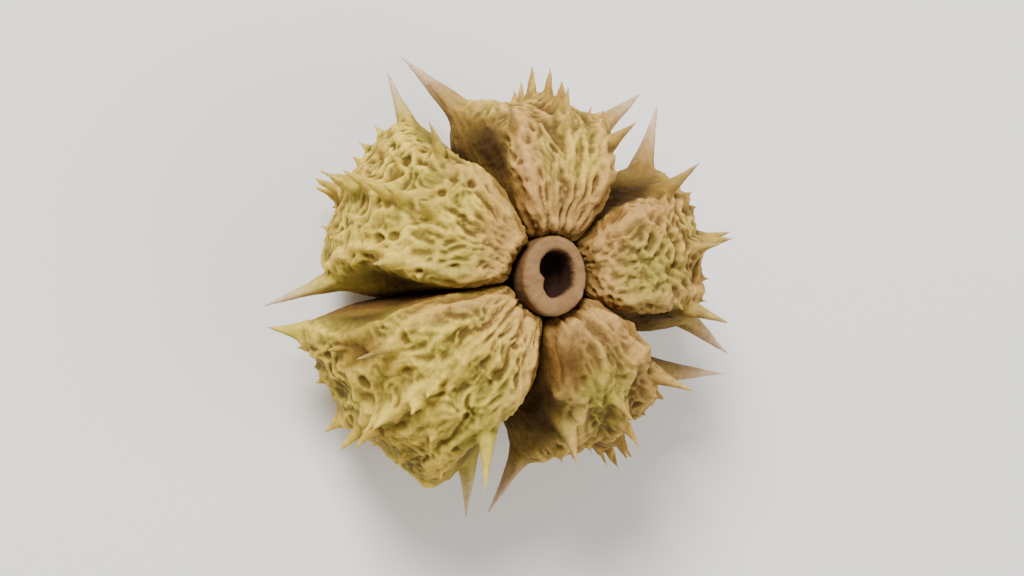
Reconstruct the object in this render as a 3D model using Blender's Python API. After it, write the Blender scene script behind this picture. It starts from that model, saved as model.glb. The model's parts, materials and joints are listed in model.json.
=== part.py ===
"""A dried puncturevine fruit: five spiny nutlets standing round the stump of the stalk.

The fruit lies on its tip with the stalk end up, as it is seen from above. Its axis is
the Z axis and it rests on the plane Z = 0. Each nutlet is a wedge with a broad, netted
back. It carries two long spines at mid height, two short ones near the stalk end, a
toothed crest down the back and rows of teeth beside it. Splits run from the stump
outwards between the nutlets, and the long spines of neighbours point at each other.
"""

import math
import random
from typing import NamedTuple

import bmesh
import bpy
from mathutils import Matrix, Vector

MM = 0.001

# The fruit as a whole
BODY_HEIGHT = 5.95 * MM
FOOT_CUT = 0.2 * MM  # how much of each nutlet's round foot the flat spot takes off
SPLIT_WIDTH = 0.3 * MM
AXIS_HOLLOW = 0.25 * MM

# The rounding of each nutlet's back, top and foot
ROUND_FROM = 1.5 * MM
SQUARENESS = 2.4
BACK_CROWN = 0.09 / MM
TOP_CROWN = 0.1 / MM
DIMPLE_DEPTH = 0.45 * MM
DIMPLE_RADIUS = 0.7 * MM
DIMPLE_WIDTH = 0.8 * MM

# The stump of the stalk, and the pocket that it stands in
STUMP_RADIUS = 0.82 * MM
STUMP_HOLE_RADIUS = 0.48 * MM
STUMP_HOLE_DEPTH = 0.95 * MM
STUMP_TOP = 5.75 * MM
STUMP_LENGTH = 1.25 * MM
STUMP_STRETCH = Vector((0.9, 1.1, 1.0))
STUMP_STEPS = 25
POCKET_CLEARANCE = 0.33 * MM
POCKET_FLOOR = 3.9 * MM
POCKET_WALL_FOOT = 4.4 * MM

# The spines and teeth
LONG_SPINE_HEIGHT = 2.75 * MM
LONG_SPINE_DROOP = 0.85 * MM
LONG_SPINE_WIDTH = 1.35 * MM
LONG_SPINE_DEPTH = 2.1 * MM
LONG_SPINE_SHOULDER = 0.65 * MM
LONG_SPINE_TIP_TO_SPLIT = 0.2 * MM
SHORT_SPINE_HEIGHT = 4.3 * MM
SHORT_SPINE_TOP = 6.0 * MM
SHORT_SPINE_WIDTH = 0.95 * MM
SHORT_SPINE_FROM_SPLIT = 12  # degrees
CREST_TOOTH = 0.55 * MM
SIDE_TOOTH = 0.42 * MM
TOOTH_WIDTH = 0.5 * MM
TOOTH_ROOT = 0.35 * MM

# The raised net
RIB_WIDTH = 0.24 * MM
PIT_DEPTH = 0.2 * MM
CREST_HEIGHT = 0.25 * MM

# Each nutlet's skin is cast from this point, inside it, along the rays of a cube's mesh.
CORE = Vector((2.45 * MM, 0.0, 3.0 * MM))
CORE_SPREAD = Vector((2.2 * MM, 1.8 * MM, 3.1 * MM))
SKIN_ROWS = 8
SKIN_COLUMNS = 6
SKIN_JITTER = 0.085


class Nutlet(NamedTuple):
    """One nutlet: where it faces, where its splits are, its size and its long spines."""

    name: str
    facing: float  # degrees anticlockwise from +X
    right_half: float  # degrees from where it faces to its clockwise split
    left_half: float  # and to its anticlockwise split
    reach: float  # from the fruit's axis to the nutlet's back
    half_width: float
    right_tip: float  # from the fruit's axis to the tip of the clockwise long spine
    left_tip: float
    seed: int
    right_aim: float = 0.0  # degrees that the spine is turned anticlockwise of the split
    left_aim: float = 0.0


NUTLETS = (
    Nutlet("nutlet_1", 11.5, 38.5, 38.5, 4.05 * MM, 1.25 * MM, 5.85 * MM, 5.6 * MM, 11, 6.0),
    Nutlet("nutlet_2", 84.5, 34.5, 34.5, 3.9 * MM, 1.2 * MM, 5.6 * MM, 5.85 * MM, 23),
    Nutlet("nutlet_3", 154, 35, 35, 4.35 * MM, 1.4 * MM, 5.6 * MM, 6.0 * MM, 35),
    Nutlet("nutlet_4", 221, 32, 42, 4.95 * MM, 1.7 * MM, 5.9 * MM, 5.8 * MM, 47),
    Nutlet("nutlet_5", 298, 35, 35, 4.05 * MM, 1.2 * MM, 5.6 * MM, 6.0 * MM, 59, 0.0, 6.5),
)


def smooth_step(low, high, value):
    """0 below low, 1 above high, with a smooth rise between."""
    share = min(max((value - low) / (high - low), 0.0), 1.0)
    return share * share * (3 - 2 * share)


def smooth_max(a, b, blend):
    """The larger of two distances, rounded over a band where they are close."""
    near = max(blend - abs(a - b), 0.0) / blend
    return max(a, b) + near * near * blend / 4


def back_gap(nutlet, p):
    """How far p lies outside the nutlet's domed back, top and foot."""
    half_height = (BODY_HEIGHT + FOOT_CUT) / 2
    middle = (BODY_HEIGHT - FOOT_CUT) / 2
    out = max(p.x + BACK_CROWN * p.y**2 - ROUND_FROM, 0.0) / (nutlet.reach - ROUND_FROM)
    up = (abs(p.z - middle) + TOP_CROWN * p.y**2) / half_height
    level = (out**SQUARENESS + up**SQUARENESS) ** (1 / SQUARENESS)
    dimple = DIMPLE_DEPTH * math.exp(-(((p.x - DIMPLE_RADIUS) / DIMPLE_WIDTH) ** 2))
    return (level - 1) * half_height * 0.9 + dimple


def side_gap(nutlet, p):
    """How far p lies outside the two sides, which part from the splits near the back."""
    right, left = math.radians(nutlet.right_half), math.radians(nutlet.left_half)
    from_right = p.x * math.sin(right) + p.y * math.cos(right)
    from_left = p.x * math.sin(left) - p.y * math.cos(left)
    along_split = min(from_right, from_left) - SPLIT_WIDTH / 2
    level = (p.z - LONG_SPINE_HEIGHT) / (1.2 * MM)
    shoulder = nutlet.half_width + LONG_SPINE_SHOULDER * math.exp(-level * level)
    return smooth_max(-along_split, abs(p.y) - shoulder, 0.5 * MM)


def inner_gap(p):
    """How far p lies inside the pocket for the stump, or past the inner edge below it."""
    pocket = STUMP_RADIUS + POCKET_CLEARANCE
    rise = smooth_step(POCKET_FLOOR, POCKET_WALL_FOOT, p.z)
    return AXIS_HOLLOW + rise * (pocket - AXIS_HOLLOW) - math.hypot(p.x, p.y)


def skin_gap(nutlet, p):
    """How far p lies outside the nutlet's plain skin. It is negative inside."""
    walls = smooth_max(side_gap(nutlet, p), inner_gap(p), 0.25 * MM)
    return smooth_max(back_gap(nutlet, p), walls, 0.45 * MM)


def cast(nutlet, direction):
    """Where a ray from the core along direction leaves the nutlet's plain skin."""
    inside, outside = 0.0, 2.5
    for _ in range(26):
        middle = (inside + outside) / 2
        if skin_gap(nutlet, CORE + direction * middle) > 0:
            outside = middle
        else:
            inside = middle
    return CORE + direction * inside


def ray(x, y, z):
    """A direction from the core, stretched to the nutlet's proportions."""
    unit = Vector((x, y, z)).normalized()
    return Vector((a * b for a, b in zip(unit, CORE_SPREAD)))


def openness(nutlet, p):
    """1 on the back and top, 0 on the walls of the splits, where the skin is plain."""
    walls = max(side_gap(nutlet, p), inner_gap(p))
    return smooth_step(-0.45 * MM, 0.05 * MM, back_gap(nutlet, p) - walls)


def lattice():
    """A cube's mesh with as many rows and columns on each side as the raised net has."""
    bm = bmesh.new()
    bmesh.ops.create_cube(bm, size=2.0)
    upright = [edge for edge in bm.edges if abs(edge.verts[0].co.z - edge.verts[1].co.z) > 1]
    bmesh.ops.subdivide_edges(bm, edges=upright, cuts=SKIN_ROWS - 1)
    level = [edge for edge in bm.edges if abs(edge.verts[0].co.z - edge.verts[1].co.z) < 0.1]
    bmesh.ops.subdivide_edges(bm, edges=level, cuts=SKIN_COLUMNS - 1, use_grid_fill=True)
    return bm


def body_mesh(nutlet, draw):
    """The nutlet's body, with the raised net on it, and where its teeth stand.

    The lattice is cast onto the skin, and its lines are the ribs of the net: each mesh of
    the net between them is sunk. The middle line down the back is raised into the crest.
    """
    bm = lattice()
    feet = []
    for vertex in bm.verts:
        spot = vertex.co.copy()
        loose = SKIN_JITTER if max(abs(spot.x), abs(spot.z)) > 0.99 else 0.0
        moved = [c + draw.uniform(-loose, loose) * (abs(c) < 0.99) for c in spot]
        direction = ray(*(math.tan(c * math.pi / 4) for c in moved))
        point = cast(nutlet, direction)
        outwards = direction.normalized()
        open_skin = openness(nutlet, point)
        if abs(spot.y) < 0.01:
            rise = smooth_step(1.8 * MM, 3.4 * MM, point.x) * open_skin
            point += outwards * CREST_HEIGHT * rise
        point.z = max(point.z, 0.0)
        vertex.co = point
        if open_skin > 0.4 and point.z > 0.9 * MM and point.x > 2.3 * MM:
            feet.append((spot, point, outwards))
    for face in bm.faces[:]:
        middle = face.calc_center_median()
        if openness(nutlet, middle) > 0.25 and middle.z > 0.5 * MM:
            mesh_width = min(edge.calc_length() for edge in face.edges)
            rib = min(RIB_WIDTH / 2, mesh_width * 0.22)
            bmesh.ops.inset_individual(bm, faces=[face], thickness=rib)
            for vertex in face.verts:
                inwards = (CORE - vertex.co).normalized()
                vertex.co += inwards * min(PIT_DEPTH, mesh_width * 0.4)
    bmesh.ops.triangulate(bm, faces=bm.faces[:])
    return bm, feet


def thorn_mesh(root, tip, width, height, sides, rings):
    """A thorn from root to tip, broad and flared at its root, with an oval section."""
    bm = bmesh.new()
    bmesh.ops.create_cone(
        bm, cap_ends=True, cap_tris=True, segments=sides, radius1=1.0, radius2=0.0, depth=1.0
    )
    bmesh.ops.translate(bm, vec=(0.0, 0.0, 0.5), verts=bm.verts[:])
    for ring in range(1, rings + 1):
        bmesh.ops.bisect_plane(
            bm,
            geom=bm.verts[:] + bm.edges[:] + bm.faces[:],
            plane_co=(0.0, 0.0, ring / (rings + 1)),
            plane_no=(0.0, 0.0, 1.0),
        )
    for vertex in bm.verts:
        left = 1 - vertex.co.z
        flare = 0.3 + 0.7 * left
        vertex.co.x *= flare * width / 2
        vertex.co.y *= flare * height / 2
    axis = tip - root
    ahead = axis.normalized()
    across = ahead.cross(Vector((0.0, 0.0, 1.0))).normalized()
    up = across.cross(ahead)
    turn = Matrix((across, up, ahead)).transposed()
    for vertex in bm.verts:
        sway = 0.06 * axis.length * math.sin(math.pi * vertex.co.z)
        along = vertex.co.z * axis.length
        vertex.co = root + turn @ Vector((vertex.co.x, vertex.co.y + sway, along))
    bmesh.ops.triangulate(bm, faces=bm.faces[:])
    bmesh.ops.recalc_face_normals(bm, faces=bm.faces[:])
    return bm


def around(radius, turn, z):
    """The point at that distance from the fruit's axis, turned from the nutlet's facing."""
    return Vector((radius * math.cos(turn), radius * math.sin(turn), z))


def long_spines(nutlet, draw):
    """The two stout spines at mid height. Each ends beside the split, near its neighbour's."""
    for side, half, reach, aim in (
        (-1, nutlet.right_half, nutlet.right_tip, nutlet.right_aim),
        (1, nutlet.left_half, nutlet.left_tip, nutlet.left_aim),
    ):
        root = Vector((2.7 * MM, side * (nutlet.half_width - 0.6 * MM), LONG_SPINE_HEIGHT))
        turn = side * (math.radians(half) - math.asin(LONG_SPINE_TIP_TO_SPLIT / reach))
        droop = LONG_SPINE_DROOP * draw.uniform(0.7, 1.3)
        tip = around(reach, turn + math.radians(aim), LONG_SPINE_HEIGHT - droop)
        yield thorn_mesh(root, tip, LONG_SPINE_WIDTH, LONG_SPINE_DEPTH, sides=8, rings=4)


def short_spines(nutlet, draw):
    """The two short spines at the corners near the stalk end, standing up and outwards."""
    for side, half in ((-1, nutlet.right_half), (1, nutlet.left_half)):
        turn = side * math.radians(half - SHORT_SPINE_FROM_SPLIT)
        root = around(2.9 * MM, turn * 0.8, SHORT_SPINE_HEIGHT)
        top = SHORT_SPINE_TOP + draw.uniform(-0.3, 0.2) * MM
        tip = around(nutlet.reach + draw.uniform(-0.1, 0.3) * MM, turn, top)
        yield thorn_mesh(root, tip, SHORT_SPINE_WIDTH, SHORT_SPINE_WIDTH, sides=6, rings=3)


def tooth_length(spot):
    """How long the tooth on that joint of the lattice is: 0 where there is none."""
    row = round(spot.z * SKIN_ROWS / 2)
    lane = round(abs(spot.y) * SKIN_COLUMNS / 2)
    on_back = spot.x > 0.99
    if lane == 0 and (on_back or spot.x > 0.5):
        return CREST_TOOTH
    if lane == 2 and on_back and row % 2:
        return SIDE_TOOTH
    if lane == 3 and on_back and row in (-2, 2, 4):
        return SIDE_TOOTH
    return 0.0


def teeth(feet, draw):
    """Teeth on the crest and on the joints of the net, in rows beside it."""
    for spot, foot, outwards in feet:
        length = tooth_length(spot) * draw.uniform(0.75, 1.25)
        if length:
            lean = Vector((draw.uniform(-0.3, 0.3), spot.y * 0.35, draw.uniform(-0.3, 0.3)))
            away = (outwards + lean).normalized()
            root = foot - away * TOOTH_ROOT
            yield thorn_mesh(root, foot + away * length, TOOTH_WIDTH, TOOTH_WIDTH, sides=5, rings=1)


def object_of(name, bm, material, parent):
    """Puts a bmesh into the scene as an object of that name."""
    mesh = bpy.data.meshes.new(name)
    bm.to_mesh(mesh)
    bm.free()
    mesh.materials.append(material)
    obj = bpy.data.objects.new(name, mesh)
    bpy.context.scene.collection.objects.link(obj)
    obj.parent = parent
    return obj


def largest_shell(mesh):
    """Leaves only the mesh's largest shell: the scraps that a union can seal are dropped."""
    bm = bmesh.new()
    bm.from_mesh(mesh)
    shells = []
    unseen = set(bm.faces)
    while unseen:
        shell = [unseen.pop()]
        for face in shell:
            beside = {other for edge in face.edges for other in edge.link_faces} & unseen
            unseen -= beside
            shell.extend(beside)
        shells.append(shell)
    shells.sort(key=len)
    scraps = [face for shell in shells[:-1] for face in shell]
    bmesh.ops.delete(bm, geom=scraps, context="FACES")
    bm.to_mesh(mesh)
    bm.free()


def fused(body, pieces):
    """Joins the pieces to the body in one Boolean union, and removes them."""
    group = bpy.data.collections.new(body.name + "_outgrowths")
    bpy.context.scene.collection.children.link(group)
    for index, bm in enumerate(pieces):
        mesh = bpy.data.meshes.new(f"{body.name}_outgrowth_{index}")
        bm.to_mesh(mesh)
        bm.free()
        group.objects.link(bpy.data.objects.new(mesh.name, mesh))
    join = body.modifiers.new("Fuse", "BOOLEAN")
    join.operation = "UNION"
    join.operand_type = "COLLECTION"
    join.collection = group
    join.solver = "EXACT"
    bpy.context.view_layer.update()
    graph = bpy.context.evaluated_depsgraph_get()
    whole = bpy.data.meshes.new_from_object(body.evaluated_get(graph))
    body.modifiers.remove(join)
    largest_shell(whole)
    body.data = whole
    for obj in group.objects[:]:
        bpy.data.objects.remove(obj)
    bpy.data.collections.remove(group)


def nutlet_object(nutlet, material, fruit):
    """One nutlet with its spines and teeth, turned to where it faces."""
    draw = random.Random(nutlet.seed)
    bm, feet = body_mesh(nutlet, draw)
    obj = object_of(nutlet.name, bm, material, fruit)
    outgrowths = [*long_spines(nutlet, draw), *short_spines(nutlet, draw), *teeth(feet, draw)]
    fused(obj, outgrowths)
    obj.rotation_euler.z = math.radians(nutlet.facing)
    return obj


def stump_object(material, fruit):
    """The stump of the stalk: a short, thick, slightly oval ring with a blind hole."""
    base = STUMP_TOP - STUMP_LENGTH
    profile = (
        (0.0, base),
        (0.5 * MM, base),
        (0.66 * MM, base + 0.2 * MM),
        (0.77 * MM, base + 0.7 * MM),
        (STUMP_RADIUS, STUMP_TOP - 0.2 * MM),
        (0.74 * MM, STUMP_TOP - 0.04 * MM),
        (0.62 * MM, STUMP_TOP),
        (0.52 * MM, STUMP_TOP - 0.06 * MM),
        (STUMP_HOLE_RADIUS, STUMP_TOP - 0.25 * MM),
        (0.36 * MM, STUMP_TOP - STUMP_HOLE_DEPTH + 0.1 * MM),
        (0.0, STUMP_TOP - STUMP_HOLE_DEPTH),
    )
    bm = bmesh.new()
    points = [bm.verts.new((radius, 0.0, z)) for radius, z in profile]
    edges = [bm.edges.new(pair) for pair in zip(points, points[1:])]
    bmesh.ops.spin(
        bm,
        geom=points + edges,
        axis=(0.0, 0.0, 1.0),
        steps=STUMP_STEPS,
        angle=math.tau,
        use_merge=True,
    )
    bmesh.ops.remove_doubles(bm, verts=bm.verts[:], dist=0.001 * MM)
    bmesh.ops.triangulate(bm, faces=bm.faces[:])
    bmesh.ops.recalc_face_normals(bm, faces=bm.faces[:])
    for vertex in bm.verts:
        turn = math.atan2(vertex.co.y, vertex.co.x)
        swell = 1 + 0.02 * math.cos(5 * turn) + 0.02 * math.sin(3 * turn + 1)
        vertex.co.x *= STUMP_STRETCH.x * swell
        vertex.co.y *= STUMP_STRETCH.y * swell
    stump = object_of("stalk_stump", bm, material, fruit)
    stump.data.shade_smooth()
    stump.data.set_sharp_from_angle(angle=math.radians(40))
    return stump


def dry_material(name, colour, roughness):
    """A plain dry surface of one colour."""
    material = bpy.data.materials.new(name)
    material.use_nodes = True
    shader = material.node_tree.nodes["Principled BSDF"]
    shader.inputs["Base Color"].default_value = (*colour, 1.0)
    shader.inputs["Roughness"].default_value = roughness
    shader.inputs["Metallic"].default_value = 0.0
    material.diffuse_color = (*colour, 1.0)
    return material


def main():
    for obj in bpy.data.objects[:]:
        bpy.data.objects.remove(obj)
    fruit = bpy.data.objects.new("fruit", None)
    bpy.context.scene.collection.objects.link(fruit)
    rind = dry_material("dry_rind", (0.41, 0.31, 0.12), 0.85)
    stalk = dry_material("dry_stalk", (0.37, 0.24, 0.13), 0.8)
    for nutlet in NUTLETS:
        nutlet_object(nutlet, rind, fruit)
    stump_object(stalk, fruit)


main()
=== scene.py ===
"""The looks of a dried puncturevine fruit, on a plain pale floor.

Each nutlet of the frame is replaced by a finely modelled one of the same form, with thorns
where the frame's thorns stand, a net of ribs and pits, and a raised margin beside each
split. The stump of the stalk gets its uneven rim and its hole, darkened with painted shade.

Shapes are worked out in millimetres, in each nutlet's own frame: X runs from the fruit's
axis to the nutlet's back, Y runs across it and Z runs up to the stalk end. Finished
meshes are in metres, in the fruit's frame.
"""

import json
import logging
import math
import random
from dataclasses import dataclass, field
from enum import Enum

import bmesh
import bpy
import numpy as np
from bpy.types import ID, Material, Mesh, Node, NodeSocket, NodeTree, Object
from mathutils import Matrix, Vector, noise

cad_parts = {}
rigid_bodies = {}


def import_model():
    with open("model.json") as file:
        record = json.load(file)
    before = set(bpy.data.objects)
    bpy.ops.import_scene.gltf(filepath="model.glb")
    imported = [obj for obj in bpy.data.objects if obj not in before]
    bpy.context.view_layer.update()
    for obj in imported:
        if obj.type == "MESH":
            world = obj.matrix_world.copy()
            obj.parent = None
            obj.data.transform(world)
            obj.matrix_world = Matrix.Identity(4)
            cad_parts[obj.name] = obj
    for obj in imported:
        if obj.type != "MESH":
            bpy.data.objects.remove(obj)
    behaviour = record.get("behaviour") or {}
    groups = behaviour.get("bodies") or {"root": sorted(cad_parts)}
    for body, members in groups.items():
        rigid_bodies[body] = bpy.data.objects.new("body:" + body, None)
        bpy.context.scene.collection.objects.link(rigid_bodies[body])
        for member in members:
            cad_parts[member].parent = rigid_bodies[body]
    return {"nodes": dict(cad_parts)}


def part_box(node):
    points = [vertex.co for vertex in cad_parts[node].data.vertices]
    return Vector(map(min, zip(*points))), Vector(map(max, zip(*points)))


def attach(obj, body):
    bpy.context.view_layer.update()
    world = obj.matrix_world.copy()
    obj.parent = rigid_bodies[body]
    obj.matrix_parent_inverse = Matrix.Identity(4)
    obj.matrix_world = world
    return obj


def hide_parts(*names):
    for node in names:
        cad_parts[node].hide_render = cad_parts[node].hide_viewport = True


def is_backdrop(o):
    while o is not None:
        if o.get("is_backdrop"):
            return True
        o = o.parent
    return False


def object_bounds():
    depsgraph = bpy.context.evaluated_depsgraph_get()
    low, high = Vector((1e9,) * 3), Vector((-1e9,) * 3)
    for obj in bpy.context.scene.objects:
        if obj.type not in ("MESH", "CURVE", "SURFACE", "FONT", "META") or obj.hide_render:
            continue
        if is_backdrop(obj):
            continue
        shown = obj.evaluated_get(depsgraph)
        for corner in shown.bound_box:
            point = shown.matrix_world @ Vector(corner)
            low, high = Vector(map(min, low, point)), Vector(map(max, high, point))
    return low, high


LOG = logging.getLogger("puncturevine")
MM = 0.001
Array = np.ndarray


def ramp(low: float, high: float, value: Array) -> Array:
    """A smooth rise from 0 to 1.

    Args:
        low: The value where the rise starts.
        high: The value where it ends.
        value: The values to map.

    Returns:
        0 below low, 1 above high, and a smooth curve between.
    """
    share = np.clip((value - low) / (high - low), 0.0, 1.0)
    return share * share * (3 - 2 * share)


def smooth_max(a: Array, b: Array, blend: float) -> Array:
    """The larger of two distances, rounded where they are close.

    Args:
        a: One distance.
        b: The other distance.
        blend: How far apart they can be and still be rounded together.

    Returns:
        The rounded maximum.
    """
    near = np.maximum(blend - np.abs(a - b), 0.0) / blend
    return np.maximum(a, b) + near * near * blend / 4


def bump(centre: float, width: float, value: Array) -> Array:
    """A bell curve of height 1 round centre, for ribs, rims and dimples."""
    return np.exp(-(((value - centre) / width) ** 2))


def coordinates(mesh: Mesh) -> Array:
    """The mesh's points as rows of x, y, z."""
    flat = np.empty(len(mesh.vertices) * 3)
    mesh.vertices.foreach_get("co", flat)
    return flat.reshape(-1, 3)


def normals(mesh: Mesh) -> Array:
    """The mesh's point normals as rows of x, y, z."""
    flat = np.empty(len(mesh.vertices) * 3)
    mesh.vertex_normals.foreach_get("vector", flat)
    return flat.reshape(-1, 3)


def edge_ends(mesh: Mesh) -> Array:
    """The points that the mesh's edges join, as two rows of indices."""
    ends = np.empty(len(mesh.edges) * 2, dtype=np.int64)
    mesh.edges.foreach_get("vertices", ends)
    return ends.reshape(-1, 2).T


def move_to(mesh: Mesh, points: Array) -> None:
    """Moves the mesh's points to rows of x, y, z."""
    mesh.vertices.foreach_set("co", points.ravel())
    mesh.update()


def paint(mesh: Mesh, **layers: Array) -> None:
    """Stores numbers from 0 to 1 on a mesh, which a material reads by their names.

    Args:
        mesh: The mesh to store them on.
        **layers: One number for each point, under the attribute's name.
    """
    for name, values in layers.items():
        layer = mesh.attributes.new(name, "FLOAT", "POINT")
        layer.data.foreach_set("value", values.clip(0, 1).astype(np.float32))


def eased(mesh: Mesh, values: Array, rounds: int) -> Array:
    """Averages values at points with their neighbours along the edges.

    Args:
        mesh: The mesh whose edges join the points.
        values: Rows of numbers, one row for each point.
        rounds: How many times to average.

    Returns:
        The averaged rows.
    """
    one, other = edge_ends(mesh)
    count = len(mesh.vertices)
    joined = np.bincount(one, minlength=count) + np.bincount(other, minlength=count)
    for _ in range(rounds):
        columns = [
            np.bincount(one, column[other], count) + np.bincount(other, column[one], count)
            for column in values.T
        ]
        values = 0.5 * values + 0.5 * np.stack(columns, axis=1) / joined[:, None]
    return values


def add_object(name: str, data: ID) -> Object:
    """Puts an object with that name and data in the scene."""
    obj = bpy.data.objects.new(name, data)
    bpy.context.scene.collection.objects.link(obj)
    return obj


def drop_scraps(mesh: Mesh) -> None:
    """Leaves only the mesh's largest connected shell.

    Args:
        mesh: The mesh, which loses its small loose shells.
    """
    one, other = edge_ends(mesh)
    shell = np.arange(len(mesh.vertices))
    while True:
        lowest = np.minimum(shell[one], shell[other])
        joined = shell.copy()
        np.minimum.at(joined, one, lowest)
        np.minimum.at(joined, other, lowest)
        joined = joined[joined]
        if np.array_equal(joined, shell):
            break
        shell = joined
    scraps = np.flatnonzero(shell != np.bincount(shell).argmax())
    if not len(scraps):
        return
    bm = bmesh.new()
    bm.from_mesh(mesh)
    bm.verts.ensure_lookup_table()
    bmesh.ops.delete(bm, geom=[bm.verts[index] for index in scraps], context="VERTS")
    bm.to_mesh(mesh)
    bm.free()


def clouds(points: Array, size: float, seed: int) -> Array:
    """Soft random variation over space.

    Args:
        points: Rows of x, y, z in millimetres.
        size: How far apart the light and dark patches are, in millimetres.
        seed: Picks another pattern.

    Returns:
        A number from about -1 to 1 for each point.
    """
    shift = Vector((seed * 7.13, seed * 3.71, seed * 5.37))
    return np.array([noise.noise(Vector(p) + shift) for p in points / size])


def folds(points: Array, seed: int) -> Array:
    """Sharp, winding ridges over space.

    Args:
        points: Rows of x, y, z, already divided by the ridges' spacing.
        seed: Picks another pattern.

    Returns:
        A number from 0 in the valleys to 1 on the ridges for each point.
    """
    shift = Vector((seed * 4.31, seed * 8.17, seed * 1.93))
    values = np.array(
        [noise.ridged_multi_fractal(Vector(p) + shift, 1.0, 2.1, 2.5, 1.0, 1.6) for p in points]
    )
    low, high = np.percentile(values, (3, 97))
    return np.clip((values - low) / (high - low), 0.0, 1.0)


def scattered(points: Array, seed: int) -> Array:
    """The distance to the nearest of points scattered about one apart.

    Args:
        points: Rows of x, y, z, already divided by the scattered points' spacing.
        seed: Picks another pattern.

    Returns:
        One distance for each point.
    """
    shift = Vector((seed * 11.3, seed * 2.9, seed * 6.1))
    return np.array([noise.voronoi(Vector(p) + shift)[0][0] for p in points])


def linear(code: str) -> tuple[float, float, float, float]:
    """Turns an sRGB hex colour into the linear one that shaders take.

    Args:
        code: Six hex digits after a hash.

    Returns:
        Red, green, blue and an alpha of 1.
    """
    channels = [int(code[i : i + 2], 16) / 255 for i in (1, 3, 5)]
    return (*(c / 12.92 if c <= 0.04045 else ((c + 0.055) / 1.055) ** 2.4 for c in channels), 1.0)


def add_node(tree: NodeTree, kind: str, **given: object) -> Node:
    """Adds a node with its settings, values and links.

    Args:
        tree: The material's node tree.
        kind: The node's type name.
        **given: A setting by its name, or an input by its name with spaces as underscores. An
            output socket is linked, and anything else becomes the input's value.

    Returns:
        The new node.
    """
    node = tree.nodes.new(kind)
    for name, value in given.items():
        if hasattr(node, name):
            setattr(node, name, value)
    for name, value in given.items():
        if hasattr(node, name):
            continue
        if name[:2] == "at" and name[2:].isdigit():
            socket = node.inputs[int(name[2:])]
        else:
            socket = node.inputs[name.replace("_", " ")]
        if isinstance(value, NodeSocket):
            tree.links.new(value, socket)
        else:
            socket.default_value = value
    return node


def blank_material(name: str) -> tuple[Material, NodeTree]:
    """A material with an empty node tree, and that tree."""
    material = bpy.data.materials.new(name)
    material.use_nodes = True
    material.node_tree.nodes.clear()
    return material, material.node_tree


def mixed(
    tree: NodeTree, share: object, one: object, other: object, blend: str = "MIX"
) -> NodeSocket:
    """Mixes two colours.

    Args:
        tree: The material's node tree.
        share: How much of the other colour there is: a socket or a number.
        one: The first colour: a socket or a colour.
        other: The second colour: a socket or a colour.
        blend: How they are mixed.

    Returns:
        The mixed colour's socket.
    """
    node = add_node(
        tree, "ShaderNodeMix", data_type="RGBA", blend_type=blend, at0=share, at6=one, at7=other
    )
    return node.outputs[2]


def painted(tree: NodeTree, name: str) -> NodeSocket:
    """The number that the mesh holds under that name."""
    node = add_node(tree, "ShaderNodeAttribute", attribute_type="GEOMETRY", attribute_name=name)
    return node.outputs["Fac"]


class Tone(Enum):
    """How ripe a rind is: light (painted highlight), middle, green, dark (painted shade), flank
    (partly painted shade) and spine tints.
    """

    YELLOW_GREEN = ("#e4c04e", "#b1923a", "#9c9232", "#574219", "#a39138", "#b5a253")
    STRAW = ("#d0a656", "#a17b39", "#968336", "#5c4521", "#856a32", "#ae905e")
    TAN = ("#c8a154", "#997536", "#8c7d35", "#5e4622", "#83672f", "#ae905e")


@dataclass(frozen=True)
class Relief:
    """How a rind is folded and pitted, in millimetres."""

    fold_spacing: float
    fold_stretch: float
    fold_height: float
    pit_spacing: float
    pit_depth: float


class Tint(Enum):
    """What colours a patch of rind, and the name of the attribute that holds it."""

    BROWN = "brown"
    GREEN = "green"
    YELLOW = "yellow"


@dataclass(frozen=True)
class Patch:
    """A patch of another tint on a nutlet's top, placed in the nutlet's own frame."""

    tint: Tint
    x: float
    y: float
    radius: float


class Grain(Enum):
    """What a nutlet's rind looks like from close by."""

    PITTED = Relief(0.46, 1.2, 0.09, 0.42, 0.13)
    WAVY = Relief(0.50, 2.6, 0.15, 0.50, 0.06)
    FURROWED = Relief(0.78, 1.5, 0.22, 0.50, 0.08)
    WRINKLED = Relief(0.46, 2.0, 0.13, 0.48, 0.07)
    CROSSWISE = Relief(0.50, 0.55, 0.13, 0.46, 0.08)


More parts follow.
